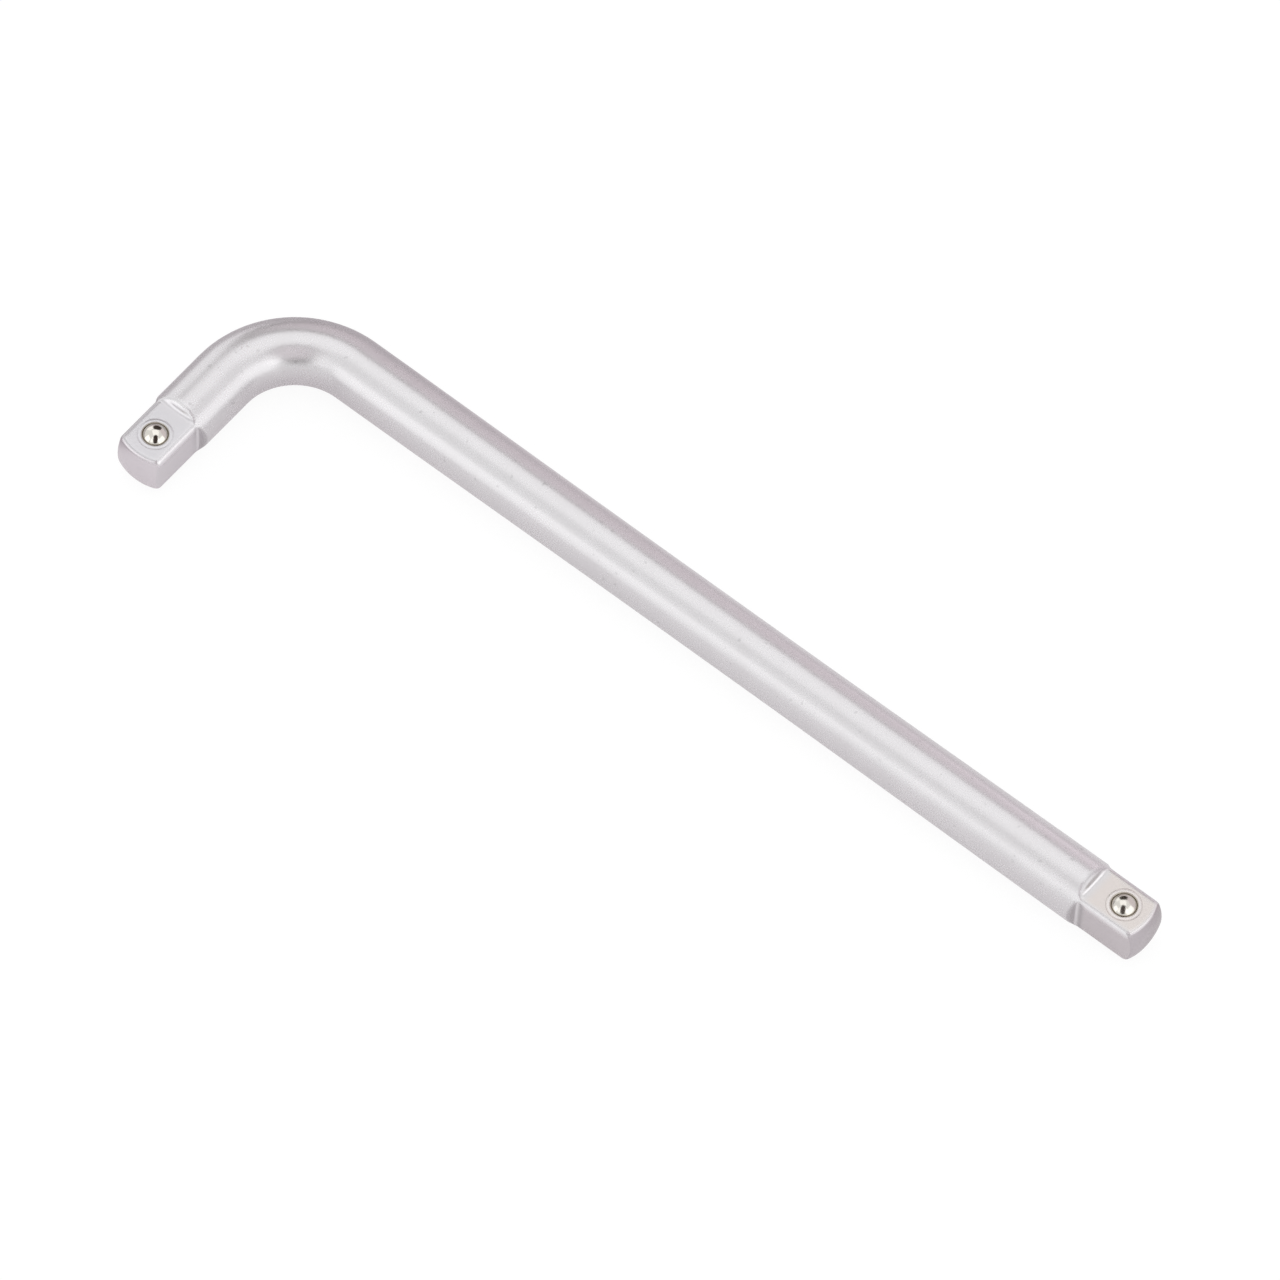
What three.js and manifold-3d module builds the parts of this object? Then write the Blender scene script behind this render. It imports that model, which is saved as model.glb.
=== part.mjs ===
import * as THREE from "three";
import { mergeVertices } from "three/addons/utils/BufferGeometryUtils.js";
import Module from "manifold-3d";

// A double-ended L-handle: one round steel bar bent square, with a male square drive on each arm and
// a spring-loaded ball in one flat of each drive. It lies flat, long arm along +X, short arm along -Y,
// balls facing +Z. All lengths are in millimetres.

// Overall sizes, from the outer side of one arm to the tip of the other
const overallLength = 280;
const overallWidth = 65.5;

// Bar: its waist, how much its radius swells towards the bend and the long end, and over what reach
const barDiameter = 16.3;
const bendSwell = 0.25;
const bendSwellReach = 100;
const longEndSwell = 0.3;
const longEndSwellReach = 100;
const bendRadius = 23;

// Square drives: the flats, the round corners left between them, the fillet that ends each flat
const squareAcrossFlats = 12.7;
const cornerDiameter = 16.5;
const cornerBlendLength = 3;
const flatLength = 14.5;
const flatFillet = 2;
const crownHeight = 2;
const crownFlatDiameter = 5;

// Detent: ball, its place along the drive, how far it stands out, and its running clearance
const ballDiameter = 7.14;
const ballFromTip = 8;
const ballProud = 1.6;
const ballClearance = 0.3;

// Compression spring under each ball, its length measured between the middles of its end wires
const springOuterDiameter = 6;
const springWireDiameter = 0.5;
const springFittedLength = 3.4;
const springSeatGap = 0.3;
const springTurns = 3;

// How far a cutting solid runs past what it cuts
const cutOverrun = 2;

// Counts of sides and steps
const barSides = 40;
const bendSteps = 14;
const swellSteps = 10;
const crownSteps = 5;
const filletSteps = 6;
const holeSides = 36;
const seatSteps = 6;
const ballSidesAround = 32;
const ballSidesOver = 20;
const wireSides = 5;
const stepsPerTurn = 8;

// Sizes worked out from those above
const waistRadius = barDiameter / 2;
const bendSideRadius = waistRadius + bendSwell;
const longEndRadius = waistRadius + longEndSwell;
const widestRadius = Math.max(bendSideRadius, longEndRadius);
const longArm = overallLength - bendSideRadius;
const shortArm = overallWidth - widestRadius;
const halfSquare = squareAcrossFlats / 2;
const cornerRadius = cornerDiameter / 2;
const crownFlatRadius = crownFlatDiameter / 2;
const driveLength = flatLength + flatFillet;
const ballRadius = ballDiameter / 2;
const ballCentreHeight = halfSquare + ballProud - ballRadius;
const holeRadius = ballRadius + ballClearance;
const wireRadius = springWireDiameter / 2;
const coilRadius = springOuterDiameter / 2 - wireRadius;

// Stretches of the bar's centre line, counted from the short arm's tip
const bendStart = shortArm - bendRadius;
const bendLength = bendRadius * Math.PI / 2;
const bendEnd = bendStart + bendLength;
const lineLength = bendEnd + longArm - bendRadius;

const steel = {
  handle: new THREE.MeshStandardMaterial({ color: "#c6c1c7", metalness: 1, roughness: 0.32 }),
  ball: new THREE.MeshStandardMaterial({ color: "#d9d3c6", metalness: 1, roughness: 0.06 }),
  spring: new THREE.MeshStandardMaterial({ color: "#8d8f93", metalness: 1, roughness: 0.4 }),
};

const wasm = await Module();
wasm.setup();

// Keeps only positions, joins equal points and drops triangles that have shrunk to a line
function closedGeometry(geometry) {
  const bare = geometry.index ? geometry.toNonIndexed() : geometry.clone();
  bare.deleteAttribute("normal");
  bare.deleteAttribute("uv");
  const merged = mergeVertices(bare);
  const kept = [];
  const corners = merged.index.array;
  for (let i = 0; i < corners.length; i += 3) {
    const [a, b, c] = corners.slice(i, i + 3);
    if (a !== b && b !== c && c !== a) {
      kept.push(a, b, c);
    }
  }
  merged.setIndex(kept);
  return merged;
}

function toSolid(geometry) {
  const closed = closedGeometry(geometry);
  return new wasm.Manifold(new wasm.Mesh({
    numProp: 3,
    vertProperties: new Float32Array(closed.attributes.position.array),
    triVerts: new Uint32Array(closed.index.array),
  }));
}

function toGeometry(solid) {
  const mesh = solid.getMesh();
  const geometry = new THREE.BufferGeometry();
  geometry.setAttribute("position", new THREE.BufferAttribute(mesh.vertProperties, mesh.numProp));
  geometry.setIndex(new THREE.BufferAttribute(mesh.triVerts, 1));
  return geometry;
}

// Cuts every cutter out of a geometry
function cutAway(geometry, cutters) {
  const start = toSolid(geometry);
  return toGeometry(cutters.reduce((solid, cutter) => solid.subtract(toSolid(cutter)), start));
}

// Skins a row of rings and closes both ends. Each ring runs anticlockwise about the way ahead.
function loft(rings) {
  const sides = rings[0].length;
  const points = rings.flat();
  const last = rings.length - 1;
  const index = [];
  for (let i = 0; i < last; i++) {
    for (let j = 0; j < sides; j++) {
      const here = i * sides + j;
      const beside = i * sides + (j + 1) % sides;
      index.push(here, beside, here + sides, beside, beside + sides, here + sides);
    }
  }
  const startCentre = points.push(middleOf(rings[0])) - 1;
  const endCentre = points.push(middleOf(rings[last])) - 1;
  for (let j = 0; j < sides; j++) {
    const next = (j + 1) % sides;
    index.push(startCentre, next, j);
    index.push(endCentre, last * sides + j, last * sides + next);
  }
  const geometry = new THREE.BufferGeometry().setFromPoints(points);
  geometry.setIndex(index);
  return geometry;
}

function middleOf(ring) {
  const sum = ring.reduce((total, point) => total.add(point), new THREE.Vector3());
  return sum.divideScalar(ring.length);
}

// One ring of points round a centre, from the first direction towards the second
function ringPoints(centre, first, second, radius, sides) {
  return Array.from({ length: sides }, (_, j) => {
    const turn = 2 * Math.PI * j / sides;
    return centre.clone()
      .addScaledVector(first, radius * Math.cos(turn))
      .addScaledVector(second, radius * Math.sin(turn));
  });
}

// A smooth rise from 0 to 1, level at both ends
function smoothRise(t) {
  const held = THREE.MathUtils.clamp(t, 0, 1);
  return held * held * (3 - 2 * held);
}

// Bar

// Place on the bar's centre line and the direction to the outer side of the bend there
function barFrame(distance) {
  const turned = THREE.MathUtils.clamp((distance - bendStart) / bendRadius, 0, Math.PI / 2);
  const outer = new THREE.Vector3(-Math.cos(turned), Math.sin(turned), 0);
  const centre = new THREE.Vector3(bendRadius, -bendRadius, 0).addScaledVector(outer, bendRadius);
  centre.y += Math.min(distance - bendStart, 0);
  centre.x += Math.max(distance - bendEnd, 0);
  return { centre, outer };
}

// Radius of the round bar: a slim waist, swollen towards the bend and towards the long end
function barRadius(distance) {
  const towardsBend = 1 - (distance - bendEnd) / bendSwellReach;
  const longShoulder = lineLength - driveLength;
  const towardsEnd = 1 - (longShoulder - distance) / longEndSwellReach;
  return waistRadius + bendSwell * smoothRise(towardsBend) + longEndSwell * smoothRise(towardsEnd);
}

// Rings of one drive, from its flat tip over the crown to its shoulder: distance from tip, radius
function driveProfile(shoulderRadius) {
  const reach = cornerRadius - crownFlatRadius;
  const arcRadius = (reach * reach + crownHeight * crownHeight) / (2 * crownHeight);
  const arcAngle = Math.asin(reach / arcRadius);
  const profile = [];
  for (let i = 0; i <= crownSteps; i++) {
    const angle = arcAngle * i / crownSteps;
    profile.push({
      fromTip: arcRadius * (1 - Math.cos(angle)),
      radius: crownFlatRadius + arcRadius * Math.sin(angle),
    });
  }
  profile.push({ fromTip: driveLength - cornerBlendLength, radius: cornerRadius });
  profile.push({ fromTip: driveLength, radius: shoulderRadius });
  return profile;
}

function evenSteps(from, to, steps) {
  return Array.from({ length: steps + 1 }, (_, i) => from + (to - from) * i / steps);
}

function roundBar() {
  const shortShoulder = driveLength;
  const longShoulder = lineLength - driveLength;
  const between = [
    ...evenSteps(bendStart, bendEnd, bendSteps),
    ...evenSteps(bendEnd, bendEnd + bendSwellReach, swellSteps),
    ...evenSteps(longShoulder - longEndSwellReach, longShoulder, swellSteps),
  ].filter((distance) => distance > shortShoulder && distance < longShoulder);
  const ordered = [...new Set(between)].sort((a, b) => a - b);
  const stations = [
    ...driveProfile(barRadius(shortShoulder))
      .map(({ fromTip, radius }) => ({ distance: fromTip, radius })),
    ...ordered.map((distance) => ({ distance, radius: barRadius(distance) })),
    ...driveProfile(barRadius(longShoulder)).reverse()
      .map(({ fromTip, radius }) => ({ distance: lineLength - fromTip, radius })),
  ];
  const up = new THREE.Vector3(0, 0, 1);
  return loft(stations.map(({ distance, radius }) => {
    const { centre, outer } = barFrame(distance);
    return ringPoints(centre, outer, up, radius, barSides);
  }));
}

// What is cut from the round bar to leave one flat: drawn from the tip inwards and from the axis
// outwards, ending in a fillet, then stood on the drive with its back to the flat's side
function flatCutter(tip, inward, side) {
  const top = Math.max(widestRadius, halfSquare + flatFillet) + cutOverrun;
  const start = -cutOverrun;
  const shape = new THREE.Shape();
  shape.moveTo(start, halfSquare);
  shape.lineTo(flatLength, halfSquare);
  for (let i = 1; i <= filletSteps; i++) {
    const angle = Math.PI / 2 * i / filletSteps;
    const along = flatLength + flatFillet * Math.sin(angle);
    shape.lineTo(along, halfSquare + flatFillet * (1 - Math.cos(angle)));
  }
  shape.lineTo(driveLength, top);
  shape.lineTo(start, top);
  const cutter = new THREE.ExtrudeGeometry(shape, { depth: 2 * top, bevelEnabled: false });
  cutter.translate(0, 0, -top);
  const across = new THREE.Vector3().crossVectors(inward, side);
  cutter.applyMatrix4(new THREE.Matrix4().makeBasis(inward, side, across).setPosition(tip));
  return cutter;
}

// The four flats of one drive
function squareCutters(tip, inward) {
  const up = new THREE.Vector3(0, 0, 1);
  const beside = new THREE.Vector3().crossVectors(inward, up);
  const sides = [up, up.clone().negate(), beside, beside.clone().negate()];
  return sides.map((side) => flatCutter(tip, inward, side));
}

// Detent

// Heights in the drive, from its axis: the spring's end wires, then the floor of the hole
const wireToBall = ballRadius + wireRadius + springSeatGap;
const springTop = ballCentreHeight - Math.sqrt(wireToBall ** 2 - coilRadius ** 2);
const springBottom = springTop - springFittedLength;
const holeFloor = springBottom - wireRadius - springSeatGap;

// Blind hole: a bore up to the ball's middle, then a rim staked in round the ball up to the flat
function ballHole() {
  const rimRise = halfSquare - ballCentreHeight;
  const rimAngle = Math.asin(rimRise / holeRadius);
  const mouthRadius = holeRadius * Math.cos(rimAngle);
  const profile = [
    new THREE.Vector2(0, holeFloor),
    new THREE.Vector2(holeRadius, holeFloor),
  ];
  for (let i = 0; i <= seatSteps; i++) {
    const angle = rimAngle * i / seatSteps;
    profile.push(new THREE.Vector2(
      holeRadius * Math.cos(angle),
      ballCentreHeight + holeRadius * Math.sin(angle),
    ));
  }
  profile.push(new THREE.Vector2(mouthRadius, halfSquare + cutOverrun));
  profile.push(new THREE.Vector2(0, halfSquare + cutOverrun));
  return new THREE.LatheGeometry(profile, holeSides).rotateX(Math.PI / 2);
}

function ball() {
  const sphere = new THREE.SphereGeometry(ballRadius, ballSidesAround, ballSidesOver);
  return closedGeometry(sphere.rotateX(Math.PI / 2));
}

// Middle of the spring's wire after a number of turns
function coilPoint(turns) {
  const angle = 2 * Math.PI * turns;
  return new THREE.Vector3(
    coilRadius * Math.cos(angle),
    coilRadius * Math.sin(angle),
    springBottom + springFittedLength * turns / springTurns,
  );
}

function spring() {
  const steps = springTurns * stepsPerTurn;
  const pitch = springFittedLength / springTurns;
  return loft(Array.from({ length: steps + 1 }, (_, i) => {
    const turns = i / stepsPerTurn;
    const angle = 2 * Math.PI * turns;
    const out = new THREE.Vector3(Math.cos(angle), Math.sin(angle), 0);
    const ahead = new THREE.Vector3(-Math.sin(angle), Math.cos(angle), 0)
      .multiplyScalar(2 * Math.PI * coilRadius);
    ahead.z = pitch;
    const across = new THREE.Vector3().crossVectors(ahead, out).normalize();
    return ringPoints(coilPoint(turns), out, across, wireRadius, wireSides);
  }));
}

// Least gap between the wire's surfaces, on points at least half a turn apart
function leastCoilGap() {
  const steps = springTurns * stepsPerTurn;
  const points = Array.from({ length: steps + 1 }, (_, i) => coilPoint(i / stepsPerTurn));
  let least = Infinity;
  for (let i = 0; i <= steps; i++) {
    for (let j = i + stepsPerTurn / 2; j <= steps; j++) {
      least = Math.min(least, points[i].distanceTo(points[j]) - springWireDiameter);
    }
  }
  return least;
}

console.log(`least gap between the spring's turns: ${leastCoilGap().toFixed(2)} mm`);

// Assembly, in a frame where the two arms' axes cross at zero, then set down on its lowest side

function namedMesh(name, geometry, material, place = new THREE.Vector3()) {
  const mesh = new THREE.Mesh(geometry, material);
  mesh.name = name;
  mesh.position.copy(place);
  return mesh;
}

const drives = [
  { name: "short_end", tip: new THREE.Vector3(0, -shortArm, 0), inward: new THREE.Vector3(0, 1, 0) },
  { name: "long_end", tip: new THREE.Vector3(longArm, 0, 0), inward: new THREE.Vector3(-1, 0, 0) },
];

const lHandle = new THREE.Group();
lHandle.position.set(
  -(longArm - bendSideRadius) / 2,
  (shortArm - widestRadius) / 2,
  widestRadius,
);

const cutters = [];
for (const { name, tip, inward } of drives) {
  const detent = new THREE.Group();
  detent.position.copy(tip).addScaledVector(inward, ballFromTip);
  const ballPlace = new THREE.Vector3(0, 0, ballCentreHeight);
  detent.add(namedMesh(`${name}_ball`, ball(), steel.ball.clone(), ballPlace));
  detent.add(namedMesh(`${name}_spring`, spring(), steel.spring.clone()));
  lHandle.add(detent);
  const hole = ballHole().translate(detent.position.x, detent.position.y, detent.position.z);
  cutters.push(...squareCutters(tip, inward), hole);
}
lHandle.add(namedMesh("handle_bar", cutAway(roundBar(), cutters), steel.handle));

const part = new THREE.Group();
part.add(lHandle);

export default part;
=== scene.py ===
"""Looks of a double-ended L-handle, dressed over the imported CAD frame.

One forged bar carries a square drive on each arm, and each drive holds a detent ball on a spring.
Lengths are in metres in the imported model's own frame: the long arm runs along +X, the short arm along
-Y, both balls face +Z, and the handle lies on z = 0.
"""

import sys
import logging
import math
from dataclasses import dataclass, field
from enum import Enum
from typing import Any, NamedTuple

import bmesh
import bpy
import numpy as np
from mathutils import Matrix, Vector


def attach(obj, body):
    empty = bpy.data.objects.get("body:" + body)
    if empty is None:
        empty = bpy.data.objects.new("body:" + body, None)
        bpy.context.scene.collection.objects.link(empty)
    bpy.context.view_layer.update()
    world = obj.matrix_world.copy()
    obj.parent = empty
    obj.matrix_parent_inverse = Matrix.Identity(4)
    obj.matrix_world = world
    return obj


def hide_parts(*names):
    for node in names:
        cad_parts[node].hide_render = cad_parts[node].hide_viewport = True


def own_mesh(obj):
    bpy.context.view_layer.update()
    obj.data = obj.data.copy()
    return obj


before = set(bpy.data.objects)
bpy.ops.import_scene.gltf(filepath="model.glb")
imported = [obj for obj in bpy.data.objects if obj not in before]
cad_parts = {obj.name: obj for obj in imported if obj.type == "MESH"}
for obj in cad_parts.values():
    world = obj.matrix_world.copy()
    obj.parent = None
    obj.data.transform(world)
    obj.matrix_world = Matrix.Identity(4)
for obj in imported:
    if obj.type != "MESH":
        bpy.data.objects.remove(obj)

MM = 0.001
QUARTER = math.pi / 2
LOG = logging.getLogger("l_handle")

Colour = tuple[float, float, float]
Place = tuple[float, float, float]


class Term:
    """One socket of a node tree, ready for use in a Python expression."""

    def __init__(self, sheet: "Sheet", socket: bpy.types.NodeSocket) -> None:
        """Keeps the socket and the sheet that it was written on."""
        self.sheet = sheet
        self.socket = socket

    def maths(self, operation: str, *terms: Any) -> "Term":
        """Adds one Math node.

        Args:
            operation: Name of the Math node's operation.
            terms: What goes into it, in order, as terms or numbers.

        Returns:
            The node's result.
        """
        return self.sheet.node("ShaderNodeMath", {"operation": operation}, dict(enumerate(terms)))

    def __add__(self, other: Any) -> "Term":
        """Self plus other."""
        return self.maths("ADD", self, other)

    __radd__ = __add__

    def __sub__(self, other: Any) -> "Term":
        """Self minus other."""
        return self.maths("SUBTRACT", self, other)

    def __rsub__(self, other: Any) -> "Term":
        """Other minus self."""
        return self.maths("SUBTRACT", other, self)

    def __mul__(self, other: Any) -> "Term":
        """Self times other."""
        return self.maths("MULTIPLY", self, other)

    __rmul__ = __mul__

    def __truediv__(self, other: Any) -> "Term":
        """Self divided by other."""
        return self.maths("DIVIDE", self, other)

    def cosine(self) -> "Term":
        """Cosine of self, an angle in radians."""
        return self.maths("COSINE", self)

    def sine(self) -> "Term":
        """Sine of self, an angle in radians."""
        return self.maths("SINE", self)

    def at_least(self, low: Any) -> "Term":
        """Self, or low where self is below it."""
        return self.maths("MAXIMUM", self, low)

    def at_most(self, high: Any) -> "Term":
        """Self, or high where self is above it."""
        return self.maths("MINIMUM", self, high)

    def within(self, low: Any, high: Any) -> "Term":
        """Self, held between two values."""
        return self.at_least(low).at_most(high)

    def smooth_rise(self) -> "Term":
        """A rise from 0 to 1 as self goes from 0 to 1, level at both ends."""
        held = self.within(0.0, 1.0)
        return held * held * (3 - 2 * held)

    def twin(self, output: str) -> "Term":
        """Another output of the node that self comes from."""
        return Term(self.sheet, self.sheet.find(self.socket.node.outputs, output))


class Sheet:
    """Writes nodes into one tree: a material's, the world's or a Geometry Nodes tree."""

    noise_fall = 0.55

    def __init__(self, tree: bpy.types.NodeTree) -> None:
        """Keeps the tree."""
        self.tree = tree

    @staticmethod
    def find(sockets: Any, key: int | str) -> bpy.types.NodeSocket:
        """Looks a socket up.

        Args:
            sockets: A node's inputs or outputs.
            key: The socket's place, its identifier or its name.

        Returns:
            The socket.
        """
        if isinstance(key, int):
            return sockets[key]
        for socket in sockets:
            if socket.identifier == key:
                return socket
        return sockets[key]

    def node(
        self,
        kind: str,
        settings: dict[str, Any] | None = None,
        sockets: dict[int | str, Any] | None = None,
        output: int | str = 0,
    ) -> Term:
        """Adds one node, sets it, and then fills its sockets.

        Args:
            kind: The node's type.
            settings: The node's own settings by name.
            sockets: A value or a term for each input named.
            output: Which output is wanted.

        Returns:
            The wanted output, or the first input of a node that has no output.
        """
        made = self.tree.nodes.new(kind)
        for name, value in (settings or {}).items():
            setattr(made, name, value)
        for key, value in (sockets or {}).items():
            socket = self.find(made.inputs, key)
            if isinstance(value, Term):
                self.tree.links.new(value.socket, socket)
            elif socket.type == "RGBA":
                socket.default_value = (*value, 1.0)
            else:
                socket.default_value = value
        if not len(made.outputs):
            return Term(self, made.inputs[0])
        return Term(self, self.find(made.outputs, output))

    def mix(self, share: Any, first: Any, second: Any) -> Term:
        """A colour between two.

        Args:
            share: How much of the second colour shows.
            first: The colour at share 0.
            second: The colour at share 1.

        Returns:
            The mixed colour.
        """
        sockets = {"Factor_Float": share, "A_Color": first, "B_Color": second}
        return self.node("ShaderNodeMix", {"data_type": "RGBA"}, sockets, "Result_Color")

    def noise(self, where: Term, size: float, detail: float = 2.0) -> Term:
        """Even noise about 0.5.

        Args:
            where: The coordinates that it is read at.
            size: The rough size of one blot, in metres.
            detail: How many finer layers are added.

        Returns:
            The noise's height.
        """
        sockets = {"Vector": where, "Scale": 1 / size, "Detail": detail, "Roughness": self.noise_fall}
        return self.node("ShaderNodeTexNoise", {"noise_dimensions": "3D"}, sockets, "Fac")

    def where(self) -> Term:
        """The place on the object, in metres."""
        return self.node("ShaderNodeTexCoord", None, None, "Object")

    def mask(self, name: str) -> Term:
        """One of the mesh's own masks, from 0 to 1."""
        return self.node("ShaderNodeAttribute", {"attribute_name": name}, None, "Fac")

    def point(self, x: Any, y: Any, z: Any) -> Term:
        """A point put together from its three parts."""
        return self.node("ShaderNodeCombineXYZ", None, {"X": x, "Y": y, "Z": z})

    def part(self, vector: Term, axis: str) -> Term:
        """One part of a vector, whose twins are the other two."""
        return self.node("ShaderNodeSeparateXYZ", None, {"Vector": vector}, axis)

    def surface(self, shader: Term) -> None:
        """Ends a material."""
        self.node("ShaderNodeOutputMaterial", None, {"Surface": shader})


@dataclass
class Skin:
    """Points, faces and masks of a mesh that is being put together."""

    points: np.ndarray
    faces: list[tuple[int, ...]]
    masks: dict[str, np.ndarray] = field(default_factory=dict)

    @classmethod
    def taken_from(cls, mesh: bpy.types.Mesh) -> "Skin":
        """Reads a mesh's points and faces, and removes it.

        Args:
            mesh: A mesh that nothing else uses.

        Returns:
            The skin, without masks.
        """
        points = np.empty(len(mesh.vertices) * 3)
        mesh.vertices.foreach_get("co", points)
        faces = [tuple(polygon.vertices) for polygon in mesh.polygons]
        bpy.data.meshes.remove(mesh)
        return cls(points.reshape(-1, 3), faces)

    def add(self, other: "Skin") -> None:
        """Takes another skin in, unjoined, with its masks at 0 where a skin doesn't have them.

        Args:
            other: The skin that is taken in.
        """
        names = set(self.masks) | set(other.masks)
        blank, other_blank = np.zeros(len(self.points)), np.zeros(len(other.points))
        self.masks = {
            name: np.concatenate([self.masks.get(name, blank), other.masks.get(name, other_blank)])
            for name in names
        }
        shift = len(self.points)
        self.faces += [tuple(corner + shift for corner in face) for face in other.faces]
        self.points = np.vstack([self.points, other.points])

    def piece(self, name: str, material: bpy.types.Material, weld: float = 0.0008 * MM) -> bpy.types.Object:
        """Makes one closed, smooth object.

        Args:
            name: The object's name.
            material: Its finish.
            weld: Points nearer to each other than this become one.

        Returns:
            The object, at the origin.
        """
        mesh = bpy.data.meshes.new(name)
        mesh.from_pydata(self.points.tolist(), [], self.faces)
        for mask_name, values in self.masks.items():
            layer = mesh.attributes.new(mask_name, "FLOAT", "POINT")
            layer.data.foreach_set("value", values.astype(np.float32))
        shape = bmesh.new()
        shape.from_mesh(mesh)
        bmesh.ops.remove_doubles(shape, verts=shape.verts, dist=weld)
        bmesh.ops.recalc_face_normals(shape, faces=shape.faces)
        open_edges = sum(1 for edge in shape.edges if len(edge.link_faces) != 2)
        shape.to_mesh(mesh)
        shape.free()
        mesh.polygons.foreach_set("use_smooth", [True] * len(mesh.polygons))
        mesh.materials.append(material)
        if open_edges:
            LOG.warning("%s has %d open edges", name, open_edges)
        return linked(name, mesh)


class Rule:
    """A Geometry Nodes tree with named inputs, and the values that they are given."""

    def __init__(self, name: str) -> None:
        """Starts an empty tree that takes geometry and gives geometry.

        Args:
            name: The tree's name.
        """
        self.tree = bpy.data.node_groups.new(name, "GeometryNodeTree")
        self.sheet = Sheet(self.tree)
        self.values: dict[str, Any] = {}
        for side in ("INPUT", "OUTPUT"):
            self.tree.interface.new_socket(name="Geometry", in_out=side, socket_type="NodeSocketGeometry")
        self.inlet = self.tree.nodes.new("NodeGroupInput")

    def given(self) -> Term:
        """The geometry that the modifier starts from."""
        return Term(self.sheet, self.inlet.outputs[0])

    def size(self, name: str, value: float | int) -> Term:
        """Adds one named input.

        Args:
            name: The input's name.
            value: What the modifier gives it: an int for a count, a float for a size.

        Returns:
            The input, for use in the rule.
        """
        kind = "NodeSocketInt" if isinstance(value, int) else "NodeSocketFloat"
        socket = self.tree.interface.new_socket(name=name, in_out="INPUT", socket_type=kind)
        self.values[socket.identifier] = value
        return Term(self.sheet, Sheet.find(self.inlet.outputs, socket.identifier))

    def sweep(
        self,
        steps: Term,
        middle: Term,
        outline: Term,
        scale: Any = 1.0,
        level: bool = False,
        caps: bool = False,
    ) -> Term:
        """Runs an outline along a line of points.

        Args:
            steps: How many steps the line has, each with an index of its own.
            middle: Where each point of the line lies.
            outline: The closed curve that is swept.
            scale: How large the outline is at each point.
            level: Whether the outline's own Y axis stays upright.
            caps: Whether both ends are closed.

        Returns:
            The swept tube.
        """
        node = self.sheet.node
        row = {"Count": steps + 1, "Offset": (0.0, 0.0, MM)}
        line = node("GeometryNodeMeshLine", {"mode": "OFFSET"}, row)
        laid = node("GeometryNodeSetPosition", None, {"Geometry": line, "Position": middle})
        path = node("GeometryNodeMeshToCurve", None, {"Mesh": laid})
        if level:
            path = node("GeometryNodeSetCurveNormal", {"mode": "Z_UP"}, {"Curve": path})
        tube = {"Curve": path, "Profile Curve": outline, "Scale": scale, "Fill Caps": caps}
        return node("GeometryNodeCurveToMesh", None, tube)

    def finish(self, shape: Term, material: bpy.types.Material) -> None:
        """Ends the tree with a material on real geometry.

        Args:
            shape: What the rule made.
            material: What it is covered with.
        """
        real = self.sheet.node("GeometryNodeRealizeInstances", None, {"Geometry": shape})
        settled = {"Geometry": real, "Material": material}
        covered = self.sheet.node("GeometryNodeSetMaterial", None, settled)
        self.sheet.node("NodeGroupOutput", None, {0: covered})

    def skin(self, start: bpy.types.Mesh) -> Skin:
        """Runs the rule on a mesh, and leaves neither the mesh nor a modifier behind.

        Args:
            start: The mesh that goes in.

        Returns:
            What the rule made.
        """
        holder = linked(self.tree.name, start)
        modifier = holder.modifiers.new(self.tree.name, "NODES")
        modifier.node_group = self.tree
        for identifier, value in self.values.items():
            modifier[identifier] = value
        graph = bpy.context.evaluated_depsgraph_get()
        made = bpy.data.meshes.new_from_object(holder.evaluated_get(graph))
        holder.modifiers.remove(modifier)
        bpy.data.objects.remove(holder)
        bpy.data.meshes.remove(start)
        return Skin.taken_from(made)


def linked(name: str, data: Any) -> bpy.types.Object:
    """Makes an object and puts it in the scene.

    Args:
        name: The object's name.
        data: Its mesh, lamp or camera.

    Returns:
        The object, at the origin.
    """
    made = bpy.data.objects.new(name, data)
    bpy.context.scene.collection.objects.link(made)
    return made


def new_material(name: str) -> tuple[bpy.types.Material, Sheet]:
    """Makes an empty material.

    Args:
        name: The material's name.

    Returns:
        The material and the sheet that its nodes go on.
    """
    material = bpy.data.materials.new(name)
    material.use_nodes = True
    material.node_tree.nodes.clear()
    return material, Sheet(material.node_tree)


def metal_surface(
    sheet: Sheet,
    colour: Term,
    roughness: Term,
    relief: tuple[Term, float],
    haze: tuple[Term, float] | None = None,
) -> None:
    """Ends a material with bare metal, and with a hazier one mixed in where that is wanted.

    Args:
        sheet: The sheet that the material's nodes are on.
        colour: The metal's colour.
        roughness: The metal's roughness.
        relief: Height of the fine relief, about 0 to 1, and what 1 stands for in metres.
        haze: Share of the hazier metal, and its roughness.
    """
    height, depth = relief
    bump = sheet.node("ShaderNodeBump", None, {"Strength": 1.0, "Distance": depth, "Height": height})
    sockets = {"Base Color": colour, "Metallic": 1.0, "Roughness": roughness, "Normal": bump}
    surface = sheet.node("ShaderNodeBsdfPrincipled", None, sockets, "BSDF")
    if haze is not None:
        share, haze_roughness = haze
        hazy_sockets = {**sockets, "Roughness": haze_roughness}
        hazy = sheet.node("ShaderNodeBsdfPrincipled", None, hazy_sockets, "BSDF")
        surface = sheet.node("ShaderNodeMixShader", None, {"Fac": share, 1: surface, 2: hazy})
    sheet.surface(surface)


def toned(colour: Colour, level: float) -> Colour:
    """A colour made darker or lighter."""
    return tuple(level * value for value in colour)


@dataclass(frozen=True)
class FaceShading:
    """The plating's colour on one machined square, with painted light and shade: its top, its other flats,
    its tip and its shoulder each get a lighter or darker tone by how light falls on them.
    """

    top: Colour
    side: Colour
    crown: Colour
    shoulder: Colour


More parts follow.
